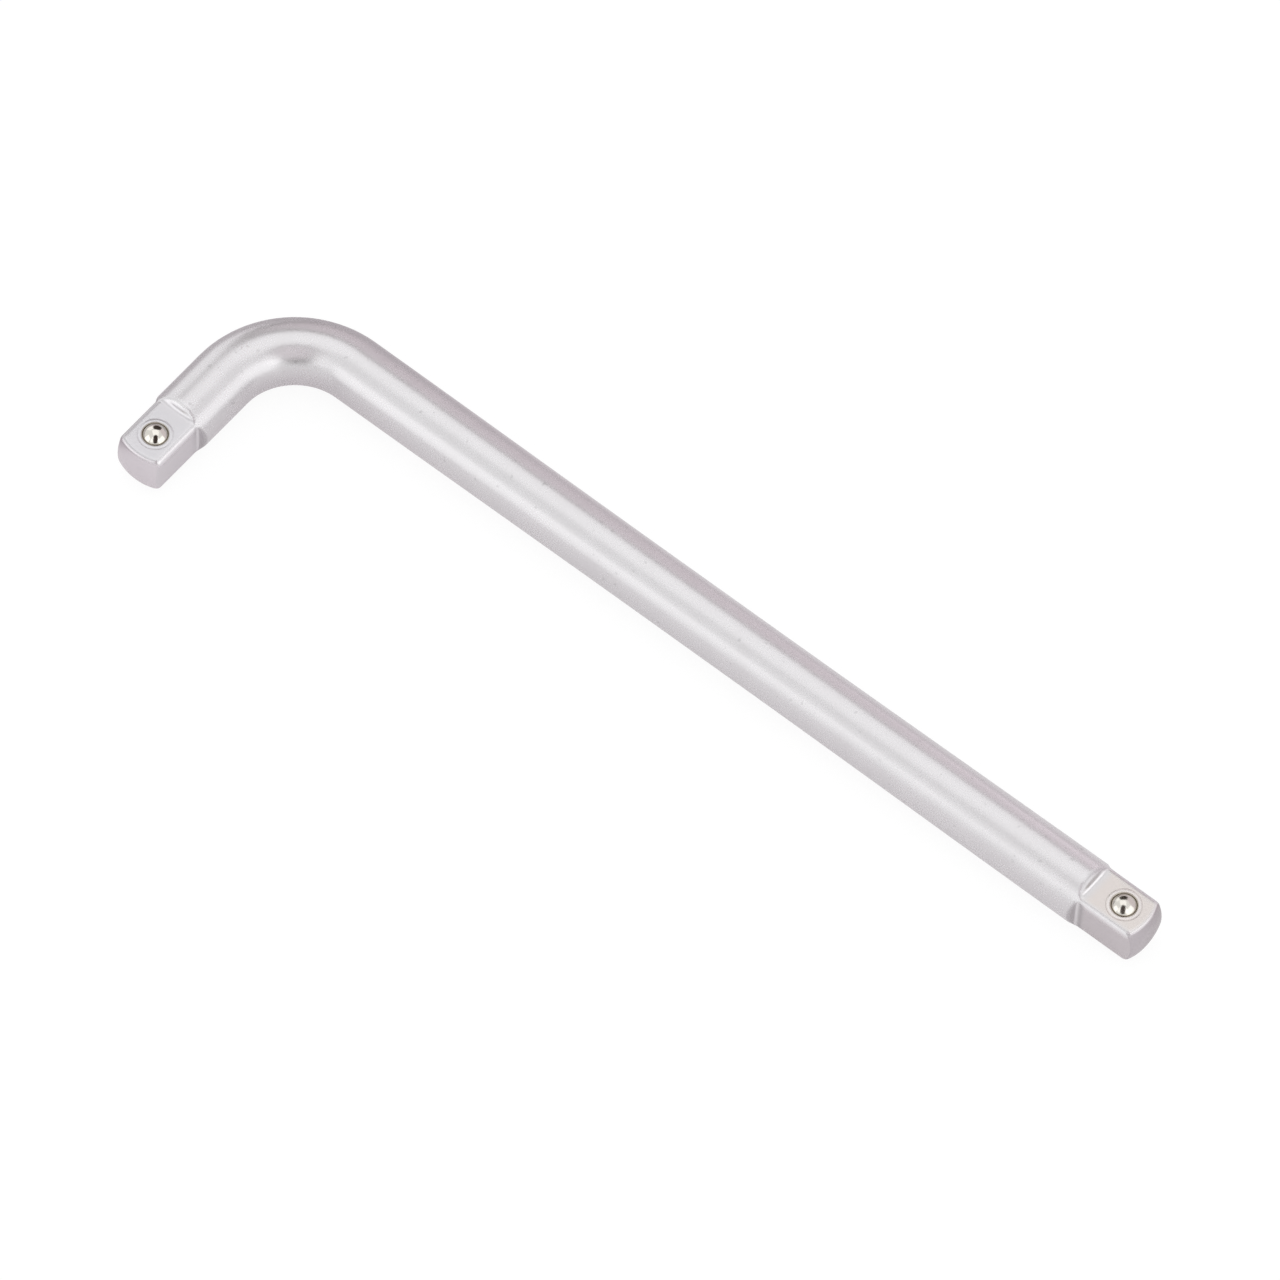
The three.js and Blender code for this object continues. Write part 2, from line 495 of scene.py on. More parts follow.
@dataclass(frozen=True)
class SatinChrome:
    """Blasted satin chrome: softly clouded on the bar, finer and brighter on the machined squares, whose
    faces, edges and foot carry painted light and shade.
    """

    colour: Colour = (0.660, 0.651, 0.662)
    # Each face's tone is painted light or shade, lighter or darker by how light falls on that face.
    short_face_shading: FaceShading = FaceShading(
        top=(0.575, 0.567, 0.585),
        side=(0.640, 0.623, 0.643),
        crown=(0.670, 0.640, 0.665),
        shoulder=(0.590, 0.578, 0.595),
    )
    long_face_shading: FaceShading = FaceShading(
        top=(0.590, 0.552, 0.531),
        side=(0.580, 0.551, 0.563),
        crown=(0.430, 0.400, 0.412),
        shoulder=(0.570, 0.558, 0.562),
    )
    # Painted shade across the long square's crown: this lighter tone on one side, fading to the darker crown
    # tone on the other.
    crown_lit_side_tone: Colour = (0.520, 0.492, 0.512)
    # Painted highlight on the squares' lit edges, the hole's rim and the fillet line.
    painted_highlight_colour: Colour = (0.860, 0.850, 0.865)
    # Painted shade on the squares' dark edges, creases and walls.
    painted_shade_colour: Colour = (0.300, 0.280, 0.295)
    # Painted shade in the ball's hole, under and round the ball.
    bore_shade_colour: Colour = (0.400, 0.360, 0.290)
    # How far the clouds and the grain spread the bar's colour, and the dark pores in it.
    colour_spread: float = 0.07
    cloud_share: float = 0.5
    grain_share: float = 0.3
    pore_start: float = 0.70
    pore_steepness: float = 12.0
    pore_share: float = 0.35
    pore_level: float = 0.55
    # How strongly the painted highlights and painted shade on the squares' edges and foot show.
    crease_share: float = 0.5
    long_crease_loss: float = 0.7
    fillet_share: float = 0.35
    long_fillet_gain: float = 0.15
    wall_share: float = 0.45
    roughness: float = 0.27
    machined_roughness: float = 0.24
    edge_roughness: float = 0.42
    cloud_roughness: float = 0.05
    grain_roughness: float = 0.06
    bore_roughness: float = 0.2
    haze_roughness: float = 0.60
    bar_haze: float = 0.50
    machined_haze: float = 0.30
    cloud_size: float = 7 * MM
    grain_size: float = 0.45 * MM
    pore_size: float = 1.6 * MM
    grain_height: float = 0.0015 * MM

    def make(self) -> bpy.types.Material:
        """Writes the material.

        Returns:
            The material, which reads the masks that the mesh carries.
        """
        material, sheet = new_material("satin_chrome_finish")
        where = sheet.where()
        machined, long_end = sheet.mask("machined"), sheet.mask("long_end")
        edge, bore = sheet.mask("edge"), sheet.mask("bore")
        cloud = sheet.noise(where, self.cloud_size) - 0.5
        grain = sheet.noise(where, self.grain_size, 3.0) - 0.5
        blasted = 1 - machined
        bar = self.bar_colour(sheet, cloud, grain * blasted)
        pore = (sheet.noise(where, self.pore_size, 1.0) - self.pore_start) * self.pore_steepness
        pore = pore.smooth_rise() * self.pore_share * blasted
        bar = sheet.mix(pore, bar, toned(self.colour, self.pore_level))
        # The squares get their painted light and shade per face, and then on their edges and foot.
        metal = sheet.mix(machined, bar, self.shaded_square_colour(sheet, long_end))
        metal = sheet.mix(bore, self.with_painted_edges(sheet, metal, edge, long_end), self.bore_shade_colour)
        rough = self.roughness + cloud * self.cloud_roughness + grain * self.grain_roughness
        rough = rough + machined * (self.machined_roughness - self.roughness)
        rough = rough + edge * (self.edge_roughness - self.machined_roughness) + bore * self.bore_roughness
        haze = self.bar_haze + machined * (self.machined_haze - self.bar_haze)
        relief = (grain * blasted, self.grain_height)
        metal_surface(sheet, metal, rough, relief, (haze, self.haze_roughness))
        return material

    def bar_colour(self, sheet: Sheet, cloud: Term, grain: Term) -> Term:
        """Colour of the blasted bar, before its pores.

        Args:
            sheet: The material's sheet.
            cloud: The soft clouds, about 0.
            grain: The grain of the blasting, about 0.

        Returns:
            The colour.
        """
        shade = (0.5 + cloud * self.cloud_share + grain * self.grain_share).within(0.0, 1.0)
        dark = toned(self.colour, 1 - self.colour_spread)
        return sheet.mix(shade, dark, toned(self.colour, 1 + self.colour_spread))

    def shaded_square_colour(self, sheet: Sheet, long_end: Term) -> Term:
        """Colour of a machined square, with painted light and shade face by face.

        Args:
            sheet: The material's sheet.
            long_end: 1 on the long arm's square, 0 on the other.

        Returns:
            The colour.
        """
        short, long = self.short_face_shading, self.long_face_shading
        top = sheet.mix(long_end, short.top, long.top)
        side = sheet.mix(long_end, short.side, long.side)
        long_crown = sheet.mix(sheet.mask("across"), self.crown_lit_side_tone, long.crown)
        crown = sheet.mix(long_end, short.crown, long_crown)
        square = sheet.mix(sheet.mask("top"), sheet.mix(sheet.mask("crown"), side, crown), top)
        shoulder = sheet.mix(long_end, short.shoulder, long.shoulder)
        return sheet.mix(sheet.mask("shoulder"), square, shoulder)

    def with_painted_edges(self, sheet: Sheet, metal: Term, edge: Term, long_end: Term) -> Term:
        """The metal's colour with painted highlights and painted shade on the squares' edges, fillet and
        wall.

        Args:
            sheet: The material's sheet.
            metal: The colour without them.
            edge: The mask of all edges, bright and dark.
            long_end: 1 on the long arm's square, 0 on the other.

        Returns:
            The colour.
        """
        lit_edge = sheet.mask("lit_edge")
        crease_shade = (edge - lit_edge) * (1 - long_end * self.long_crease_loss) * self.crease_share
        fillet = sheet.mask("fillet") * (self.fillet_share + long_end * self.long_fillet_gain)
        metal = sheet.mix(lit_edge, metal, self.painted_highlight_colour)
        metal = sheet.mix(crease_shade, metal, self.painted_shade_colour)
        metal = sheet.mix(fillet, metal, self.painted_highlight_colour)
        return sheet.mix(sheet.mask("wall") * self.wall_share, metal, self.painted_shade_colour)


@dataclass(frozen=True)
class BallSteel:
    """Polished ball steel, with the faint haze and hair scratches of a ball that has been turned."""

    name: str
    roughness: float
    colour: Colour = (0.700, 0.674, 0.622)
    worn_level: float = 0.9
    haze_size: float = 1.5 * MM
    haze_roughness: float = 0.03
    scratch_size: float = 0.12 * MM
    scratch_stretch: Place = (1.0, 0.12, 0.4)
    scratch_height: float = 0.0004 * MM

    def make(self) -> bpy.types.Material:
        """Writes the material.

        Returns:
            The material.
        """
        material, sheet = new_material(self.name)
        where = sheet.where()
        haze = sheet.noise(where, self.haze_size)
        laid = {"Vector": where, "Scale": self.scratch_stretch}
        stretched = sheet.node("ShaderNodeMapping", {"vector_type": "POINT"}, laid)
        scratch = sheet.noise(stretched, self.scratch_size, 3.0)
        steel = sheet.mix(haze, toned(self.colour, self.worn_level), self.colour)
        rough = self.roughness + haze * self.haze_roughness
        metal_surface(sheet, steel, rough, (scratch, self.scratch_height))
        return material


@dataclass(frozen=True)
class DrawnWire:
    """Oiled spring wire, with the fine die lines of drawing."""

    colour: Colour = (0.330, 0.315, 0.300)
    oiled_colour: Colour = (0.180, 0.165, 0.145)
    roughness: float = 0.34
    line_roughness: float = 0.1
    oil_gloss: float = 0.15
    oil_size: float = 1.2 * MM
    oil_start: float = 0.45
    oil_steepness: float = 6.0
    line_size: float = 0.08 * MM
    line_height: float = 0.001 * MM

    def make(self) -> bpy.types.Material:
        """Writes the material.

        Returns:
            The material.
        """
        material, sheet = new_material("drawn_wire_finish")
        where = sheet.where()
        oil = ((sheet.noise(where, self.oil_size) - self.oil_start) * self.oil_steepness).smooth_rise()
        line = sheet.noise(where, self.line_size, 3.0)
        wire = sheet.mix(oil, self.colour, self.oiled_colour)
        rough = self.roughness + line * self.line_roughness - oil * self.oil_gloss
        metal_surface(sheet, wire, rough, (line, self.line_height))
        return material


def smooth_rise(share: np.ndarray) -> np.ndarray:
    """A rise from 0 to 1 as share goes from 0 to 1, level at both ends."""
    held = np.clip(share, 0.0, 1.0)
    return held * held * (3 - 2 * held)


def ridge(distance: np.ndarray, half_width: float) -> np.ndarray:
    """A soft line, 1 where distance is 0 and fading out past its half width."""
    return np.exp(-(distance / half_width)**2)


def from_flat(turns: np.ndarray) -> np.ndarray:
    """Angles from the middle of the nearest flat, for angles round a square's axis."""
    return np.abs((turns + math.pi / 4) % QUARTER - math.pi / 4)


def rounded_max(first: np.ndarray, second: np.ndarray, radius: float | np.ndarray) -> np.ndarray:
    """Where two solids overlap, with the edge between their faces rounded.

    Args:
        first: Distances to the first solid's face, positive outside it.
        second: The same for the second solid.
        radius: Radius of the rounded edge.

    Returns:
        Distances to the face of what they share.
    """
    beyond = np.hypot(np.maximum(first + radius, 0.0), np.maximum(second + radius, 0.0))
    return np.minimum(np.maximum(first, second), -radius) + beyond


def bands(rings: int, count: int) -> np.ndarray:
    """Four-cornered faces between closed rings of points.

    Args:
        rings: How many rings there are, one after another.
        count: How many points each ring has.

    Returns:
        The corners of each face, by ring and by place round the ring.
    """
    ring, spot = np.meshgrid(np.arange(rings - 1), np.arange(count), indexing="ij")
    here, beside = ring * count + spot, ring * count + (spot + 1) % count
    return np.stack([here, beside, beside + count, here + count], axis=2)


class Arm(Enum):
    """The two arms, each with the name that its pieces carry."""

    SHORT = "short"
    LONG = "long"


@dataclass(frozen=True)
class BarLine:
    """The bar's centre line, from the short arm's tip over the bend, and the bar's radius along it."""

    crossing: Place = (-131.6 * MM, 24.3 * MM, 8.45 * MM)
    short_arm: float = 57.05 * MM
    long_arm: float = 271.6 * MM
    bend_radius: float = 23 * MM
    waist_radius: float = 8.15 * MM
    bend_swell: float = 0.25 * MM
    bend_reach: float = 100 * MM
    end_swell: float = 0.3 * MM
    end_reach: float = 100 * MM
    shoulder: float = 16.5 * MM

    @property
    def bend_start(self) -> float:
        """Where the bend starts, counted along the line."""
        return self.short_arm - self.bend_radius

    @property
    def bend_end(self) -> float:
        """Where the bend ends."""
        return self.bend_start + self.bend_radius * QUARTER

    @property
    def length(self) -> float:
        """The whole line's length."""
        return self.bend_end + self.long_arm - self.bend_radius

    def radius(self, distance: np.ndarray) -> np.ndarray:
        """The round bar's radius.

        Args:
            distance: Places along the line.

        Returns:
            The radius there, larger at the bend and towards the long arm's tip.
        """
        towards_bend = 1 - (distance - self.bend_end) / self.bend_reach
        towards_end = 1 - (self.length - self.shoulder - distance) / self.end_reach
        swell = self.bend_swell * smooth_rise(towards_bend) + self.end_swell * smooth_rise(towards_end)
        return self.waist_radius + swell

    def inward(self, arm: Arm) -> np.ndarray:
        """The way from one arm's tip along its axis."""
        return np.array((0.0, 1.0, 0.0) if arm is Arm.SHORT else (-1.0, 0.0, 0.0))

    def tip(self, arm: Arm) -> np.ndarray:
        """The tip of one arm, on its axis."""
        reach = self.short_arm if arm is Arm.SHORT else self.long_arm
        return np.array(self.crossing) - self.inward(arm) * reach

    def over_axis(self, arm: Arm, from_tip: float, height: float) -> np.ndarray:
        """A place straight above or below one arm's axis.

        Args:
            arm: The arm.
            from_tip: Distance from its tip.
            height: Height above its axis.

        Returns:
            The place.
        """
        return self.tip(arm) + self.inward(arm) * from_tip + np.array((0.0, 0.0, height))


@dataclass(frozen=True)
class Detent:
    """Sizes that a ball, its spring and its hole share, with heights from the arm's axis."""

    from_tip: float = 8 * MM
    ball_radius: float = 3.57 * MM
    ball_height: float = 4.38 * MM
    travel: float = 1.6 * MM
    hole_radius: float = 3.87 * MM
    hole_floor: float = -2.638 * MM
    spring_bottom: float = -2.088 * MM
    spring_length: float = 3.4 * MM


class HoleRow(NamedTuple):
    """One ring of a ball's hole: its radius, its height over the flat, and two masks, for a painted
    highlight on the rim and for painted shade in the bore.
    """

    radius: float
    height: float
    edge: float
    bore: float


@dataclass(frozen=True)
class BallHole:
    """Section of one ball's hole, in millimetres from its axis and from the flat.

    A shallow ring is pressed into the flat, the rim inside it is rolled over the ball, and below it
    lies the bore with its round seat and its floor.
    """

    detent: Detent
    flat_height: float
    ring_radii: tuple[float, float, float] = (4.66, 4.20, -0.04)
    ring_middle: float = 4.43
    ring_half_width: float = 0.19
    ring_depth: float = 0.05
    # Radius, height, and how far the point is inside the rim, from 0 to 1.
    rim: tuple[tuple[float, float, float], ...] = (
        (4.10, 0.012, 0.0), (3.95, 0.030, 0.0), (3.80, 0.036, 0.0), (3.66, 0.032, 0.15),
        (3.54, 0.012, 0.4), (3.46, -0.020, 0.6), (3.38, -0.062, 0.75), (3.30, -0.115, 0.85),
        (3.24, -0.170, 0.9), (3.20, -0.230, 1.0), (3.21, -0.300, 1.0), (3.30, -0.420, 1.0),
    )
    # How far into the rim the painted highlight reaches, and where the painted shade inside starts.
    bright_limit: float = 0.6
    dark_start: float = 0.3
    seat_heights: tuple[float, ...] = (-0.55, -0.75, -1.0, -1.3, -1.6)
    wall_heights: tuple[float, ...] = (-3.5, -6.0)
    floor_round: float = 0.3
    floor_round_middle: float = 0.09

    def rows(self) -> list[HoleRow]:
        """The section's rings, from the flat inwards and down.

        Returns:
            The rings, in metres.
        """
        rows = []
        for radius in np.arange(*self.ring_radii):
            share = np.clip((radius - self.ring_middle) / self.ring_half_width, -1, 1)
            rows.append((radius, -self.ring_depth * (1 + math.cos(math.pi * share)) / 2, 0.0, 0.0))
        for radius, height, inside in self.rim:
            dark = max(0.0, inside - self.dark_start) / (1 - self.dark_start)
            rows.append((radius, height, max(0.0, self.bright_limit - inside), dark))
        bore = self.detent.hole_radius / MM
        centre = (self.detent.ball_height - self.flat_height) / MM
        floor = (self.detent.hole_floor - self.flat_height) / MM
        seat = [(math.sqrt(bore**2 - (height - centre)**2), height)
                for height in (*self.seat_heights, centre)]
        wall = [(bore, height) for height in (*self.wall_heights, floor + self.floor_round)]
        foot = [(bore - self.floor_round_middle, floor + self.floor_round_middle),
                (bore - self.floor_round, floor), (bore / 2, floor)]
        rows += [(radius, height, 0.0, 1.0) for radius, height in (*seat, *wall, *foot)]
        return [HoleRow(radius * MM, height * MM, edge, dark) for radius, height, edge, dark in rows]


@dataclass(frozen=True)
class EdgeLighting:
    """Painted highlights and painted shade on one square's edges and foot, which differ between the two.

    lit_side is 1 or -1, for the side whose corner is bright. The values in MM say how far a mark
    reaches, and the others how strong it is, from 0 to 1.
    """

    lit_side: float
    corner_shine: float
    corner_drop: float
    tip_shine: float
    tip_shade: float
    tip_edge_on_flat: float
    tip_edge_on_crown: float
    hole_rim_highlight: float
    top_fillet: float
    top_cut: float
    top_wall: float
    foot_shade: float


# Painted highlights and painted shade for each square's edges and foot.
EDGE_LIGHTING = {
    Arm.SHORT: EdgeLighting(
        lit_side=1.0,
        corner_shine=0.6,
        corner_drop=0.4 * MM,
        tip_shine=0.0,
        tip_shade=1.0,
        tip_edge_on_flat=0.25 * MM,
        tip_edge_on_crown=1 * MM,
        hole_rim_highlight=0.10,
        top_fillet=0.3,
        top_cut=0.6,
        top_wall=0.1,
        foot_shade=0.0,
    ),
    Arm.LONG: EdgeLighting(
        lit_side=-1.0,
        corner_shine=0.5,
        corner_drop=0.9 * MM,
        tip_shine=0.9,
        tip_shade=0.0,
        tip_edge_on_flat=1 * MM,
        tip_edge_on_crown=0.4 * MM,
        hole_rim_highlight=0.35,
        top_fillet=1.0,
        top_cut=0.0,
        top_wall=0.7,
        foot_shade=1.0,
    ),
}


@dataclass(frozen=True)
class MaskRuns:
    """Over what lengths the masks of a square fade, and where the lines at its foot lie."""

    border: float = 0.2 * MM
    sides: float = 2 * MM
    across: float = 12 * MM
    before_foot: float = 0.8 * MM
    upper_reach: float = 2.8 * MM
    upper_fade: float = 1.2 * MM
    corner: float = 0.9 * MM
    dark_edge: float = 0.48 * MM
    top_border: float = 0.7 * MM
    shoulder: float = 2 * MM
    into_cut: float = 0.25 * MM
    fillet_past_flat: float = 0.6 * MM
    fillet: float = 0.4 * MM
    dark_foot_before: float = 0.5 * MM
    dark_foot: float = 0.6 * MM


@dataclass(frozen=True)
class RingPlan:
    """Where the rings of a square's skin lie.

    Each ring's points are found on straight lines out of the axis. Lines to the crown fan out from one
    place, lines round the ball's patch stand square to the axis, and lines to the shoulder's lip fan
    out from behind it. Shares go from 0 to 1, lengths count from the tip.
    """

    crown_focus: float = 9 * MM
    crown_shares: tuple[float, ...] = (
        0.03, 0.1, 0.18, 0.27, 0.36, 0.45, 0.54, 0.63, 0.71, 0.78, 0.84, 0.89,
        0.925, 0.945, 0.96, 0.973, 0.985, 0.995,
    )
    edge_shares: tuple[float, ...] = (0.0, 0.03, 0.07, 0.12, 0.18, 0.26, 0.37, 0.53, 0.75)
    patch_half: float = 4.8 * MM
    patch_steps: int = 24
    plain_steps: int = 16
    corner_steps: tuple[float, ...] = (-2.0, -1.5, -1.0, -0.5, 0.0, 0.5, 1.0, 1.6, 2.4, 3.6)
    axis_gap: float = 1 * MM
    past_patch: float = 13.1 * MM
    fan_start: float = 13.4 * MM
    flat_start: float = 13.7 * MM
    flat_gap: float = 0.6 * MM
    flat_rings: int = 5
    wall_gap: float = 0.3 * MM
    wall_rings: int = 42
    bar_gap: float = 0.5 * MM
    bar_shares: tuple[float, ...] = (0.35, 0.65, 1.0)
    bar_radius: float = 8.45 * MM
    focus_past_end: float = 1 * MM
    reach: float = 13 * MM
    halvings: int = 45


class Spots(NamedTuple):
    """Places on a drive: distance from the tip, height above the axis, and distance to its side."""

    along: np.ndarray
    up: np.ndarray
    side: np.ndarray


class Depths(NamedTuple):
    """Distances to a square's three kinds of face, positive outside the steel."""

    bar: np.ndarray
    flat: np.ndarray
    crown: np.ndarray


@dataclass
class SquareDrive:
    """One male square: four flats milled off the round bar, a crowned tip, and the ball's staked hole."""

    arm: Arm
    bar: BarLine
    detent: Detent = Detent()
    plan: RingPlan = RingPlan()
    runs: MaskRuns = MaskRuns()
    across_flats: float = 12.7 * MM
    corner_radius: float = 8.4 * MM
    corner_blend: float = 3 * MM
    short_flat_length: float = 15.8 * MM
    long_flat_length: float = 16.5 * MM
    flat_fillet: float = 0.9 * MM
    crown_height: float = 2 * MM
    crown_flat_radius: float = 2.5 * MM
    crown_round: float = 0.8 * MM
    edge_round: float = 0.4 * MM
    lip_round: float = 2 * MM
    lip_reach: float = 2 * MM
    lip_run: float = 2.4 * MM

    @property
    def is_long(self) -> bool:
        """Whether this is the long arm's square."""
        return self.arm is Arm.LONG

    @property
    def half(self) -> float:
        """Height of a flat above the axis."""
        return self.across_flats / 2

    @property
    def flat_length(self) -> float:
        """Length of a flat up to its fillet, which is more on the long arm."""
        return self.long_flat_length if self.is_long else self.short_flat_length

    @property
    def drive_length(self) -> float:
        """Length from the tip to the shoulder's wall."""
        return self.flat_length + self.flat_fillet

    @property
    def stub_length(self) -> float:
        """Length from the tip to where the plain round bar starts."""
        return self.drive_length + self.lip_run

    @property
    def crown_arc(self) -> float:
        """Radius of the arc between the crown's flat and its rim."""
        reach = self.corner_radius - self.crown_flat_radius
        return (reach**2 + self.crown_height**2) / (2 * self.crown_height)

    def points(self, spots: Spots) -> np.ndarray:
        """Turns places on the drive into points, one row each.

        Args:
            spots: The places.

        Returns:
            The points.
        """
        inward, upward = self.bar.inward(self.arm), np.array((0.0, 0.0, 1.0))
        ways = (inward, upward, np.cross(inward, upward))
        moves = (np.multiply.outer(part.ravel(), way) for part, way in zip(spots, ways))
        return self.bar.tip(self.arm) + sum(moves)

    def depths(self, spots: Spots) -> Depths:
        """Measures how far places lie from the drive's faces.

        Args:
            spots: The places.

        Returns:
            Distances to the round bar, to the nearest flat with its fillet, and to the crown.
        """
        along, up, side = spots
        out = np.hypot(up, side)
        on_line = self.bar.length - along if self.is_long else along
        left = self.drive_length - along
        blend = smooth_rise(1 - left / self.corner_blend)
        radius = self.corner_radius + (self.bar.radius(on_line) - self.corner_radius) * blend
        height = np.maximum(np.abs(up), np.abs(side)) - self.half
        fillet = self.flat_fillet
        bowl = fillet - np.hypot(fillet - height, fillet - left)
        flat = np.where((height < fillet) & (left < fillet), bowl, np.minimum(height, left))
        reach = np.maximum(out - self.crown_flat_radius, 0.0)
        crown = np.hypot(reach, np.maximum(self.crown_arc - along, 0.0)) - self.crown_arc
        return Depths(out - radius, flat, crown)

    def edge_radius(self, spots: Spots) -> np.ndarray:
        """Radius of the edges round a flat, which grows at the shoulder with the height of its wall.

        Args:
            spots: Places near the edges.

        Returns:
            The radius at each.
        """
        turns = np.arctan2(spots.side, spots.up)
        wall = np.maximum(self.corner_radius - self.half / np.cos(from_flat(turns)), 0.0)
        near_shoulder = smooth_rise(1 - (self.drive_length - spots.along) / self.lip_reach)
        share = near_shoulder * wall / (self.corner_radius - self.half)
        return self.edge_round + (self.lip_round - self.edge_round) * share

    def surface(self, spots: Spots) -> np.ndarray:
        """Measures how far places lie from the finished drive, with its edges rounded.

        Args:
            spots: The places.

        Returns:
            The distances, positive outside the steel.
        """
        depths = self.depths(spots)
        body = rounded_max(depths.bar, depths.flat, self.edge_radius(spots))
        return rounded_max(body, depths.crown, self.crown_round)

    def turns(self) -> np.ndarray:
        """Spreads the lines that run along the drive.

        Returns:
            Their angles, from one side of the ball's flat round to it again, closest at the corners.
        """
        corner_edge = math.degrees(math.acos(self.half / self.corner_radius))
        rising = [corner_edge + step for step in self.plan.corner_steps]
        corner = np.radians([*rising, 45.0, *(90.0 - angle for angle in reversed(rising))])
        lines = []
        for quarter in range(4):
            steps = self.plan.plain_steps if quarter else self.plan.patch_steps
            across = np.linspace(-self.plan.patch_half, self.plan.patch_half, steps + 1)
            lines += [np.arctan(across / self.half) + quarter * QUARTER, corner + quarter * QUARTER]
        return np.concatenate(lines)

    def rays(self, turns: np.ndarray) -> tuple[np.ndarray, np.ndarray, int]:
        """Straight lines out of the steel, one for each point of the skin.

        Args:
            turns: Angles of the lines along the drive.

        Returns:
            Starts and ways in the plane through the axis, as (distance from tip, distance from axis),
            ring by ring, and the ring at which the ball's patch starts.
        """
        plan = self.plan
        outline = np.minimum(self.corner_radius, self.half / np.cos(from_flat(turns)))
        edge = self.crown_arc - np.sqrt(self.crown_arc**2 - (outline - self.crown_flat_radius)**2)
        edge_turn = np.arctan2(outline, plan.crown_focus - edge)
        patch_start = self.detent.from_tip - plan.patch_half
        patch_end = self.detent.from_tip + plan.patch_half
        focus = self.stub_length + plan.focus_past_end
        bar_start = self.stub_length - plan.bar_gap
        same = np.ones_like(turns)
        starts, aims = [], []

        def cast(start: float, start_out: float, aim: Any, aim_out: Any) -> None:
            """Adds one ring of lines, each from (start, start_out) through (aim, aim_out)."""
            starts.append((start * same, start_out * same))
            aims.append((aim * same, aim_out * same))

        for share in plan.crown_shares:
            aim = plan.crown_focus - np.cos(edge_turn * share) * plan.crown_focus
            cast(plan.crown_focus, 0.0, aim, np.sin(edge_turn * share) * plan.crown_focus)
        for share in plan.edge_shares:
            start = plan.crown_focus + (patch_start - plan.crown_focus) * share
            cast(start, 0.0, edge + (patch_start - edge) * share, outline)
        patch_ring = len(starts)
        for aim in (*np.linspace(patch_start, patch_end, plan.patch_steps + 1), plan.past_patch):
            share = (aim - patch_start) / (plan.fan_start - patch_start)
            cast(patch_start + (focus - patch_start) * share, plan.axis_gap, aim, outline)
        for aim in np.linspace(plan.flat_start, self.flat_length - plan.flat_gap, plan.flat_rings):
            cast(focus, plan.axis_gap, aim, outline)
        wall_start = self.flat_length - plan.wall_gap
        for share in np.linspace(0, 1, plan.wall_rings):
            aim = wall_start + (bar_start - wall_start) * share
            cast(focus, plan.axis_gap, aim, outline + (plan.bar_radius - outline) * share)
        for share in plan.bar_shares:
            start = focus + (self.stub_length - focus) * share
            cast(start, plan.axis_gap, bar_start + (self.stub_length - bar_start) * share, plan.bar_radius)
        start = np.moveaxis(np.array(starts), 1, 2)
        way = np.moveaxis(np.array(aims), 1, 2) - start
        return start, way / np.linalg.norm(way, axis=2, keepdims=True), patch_ring

    def shell(self) -> Skin:
        """Makes the drive's outside, by halving each line again and again where it leaves the steel.

        Returns:
            The skin, open where the ball's patch goes and where the bar goes on.
        """
        turns = self.turns()
        start, way, patch_ring = self.rays(turns)

        def at(distance: np.ndarray) -> Spots:
            """The places at distances along the lines."""
            along, out = np.moveaxis(start + way * distance[..., None], 2, 0)
            return Spots(along, out * np.cos(turns), out * np.sin(turns))

        near, far = np.zeros(start.shape[:2]), np.full(start.shape[:2], self.plan.reach)
        for _ in range(self.plan.halvings):
            middle = (near + far) / 2
            inside = self.surface(at(middle)) < 0
            near, far = np.where(inside, middle, near), np.where(inside, far, middle)
        spots = at(far)
        rings, lines = far.shape
        tip = rings * lines
        kept = np.ones((rings - 1, lines), dtype=bool)
        kept[patch_ring:patch_ring + self.plan.patch_steps, :self.plan.patch_steps] = False
        faces = [(tip, (j + 1) % lines, j) for j in range(lines)]
        faces += [tuple(face) for face in bands(rings, lines)[kept].tolist()]
        points = np.vstack([self.points(spots), self.bar.tip(self.arm)])
        at_tip = {"machined": 1.0, "crown": 1.0, "long_end": float(self.is_long)}
        masks = {
            name: np.append(values, at_tip.get(name, 0.0)) for name, values in self.masks_at(spots).items()
        }
        return Skin(points, faces, masks)

    def patch(self) -> Skin:
        """Makes the square of flat round the ball, its staked rim, and the blind hole under it.

        Returns:
            The skin, open along the square's four sides.
        """
        steps, reach = self.plan.patch_steps, self.plan.patch_half
        span = np.linspace(-reach, reach, steps + 1)
        low, high = np.full(steps, -reach), np.full(steps, reach)
        border = np.array([[*low, *span[:-1], *high, *span[:0:-1]], [*span[:-1], *high, *span[:0:-1], *low]])
        turn = np.arctan2(border[1], border[0])
        rows = BallHole(self.detent, self.half).rows()
        radii = np.array([row.radius for row in rows])
        heights = np.array([0.0, *(row.height for row in rows)])
        count, rings = len(turn), len(heights)

        along = np.append(np.vstack([border[0], np.outer(radii, np.cos(turn))]), 0.0)
        side = np.append(np.vstack([border[1], np.outer(radii, np.sin(turn))]), 0.0)
        up = np.append(np.repeat(heights, count), heights[-1]) + self.half
        spots = Spots(along + self.detent.from_tip, up, side)
        last = (rings - 1) * count
        faces = [tuple(face) for face in bands(rings, count).reshape(-1, 4).tolist()]
        faces += [(last + j, last + (j + 1) % count, rings * count) for j in range(count)]

        # The rim gets a painted highlight, and the bore painted shade.
        rim_highlight = EDGE_LIGHTING[self.arm].hole_rim_highlight
        edge = np.append(np.repeat([0.0, *(row.edge for row in rows)], count), 0.0) * rim_highlight
        bore = np.append(np.repeat([0.0, *(row.bore for row in rows)], count), 1.0)
        masks = self.masks_at(spots._replace(up=np.full_like(up, self.half)))
        masks.update(edge=edge, lit_edge=edge, bore=bore)
        return Skin(self.points(spots), faces, masks)

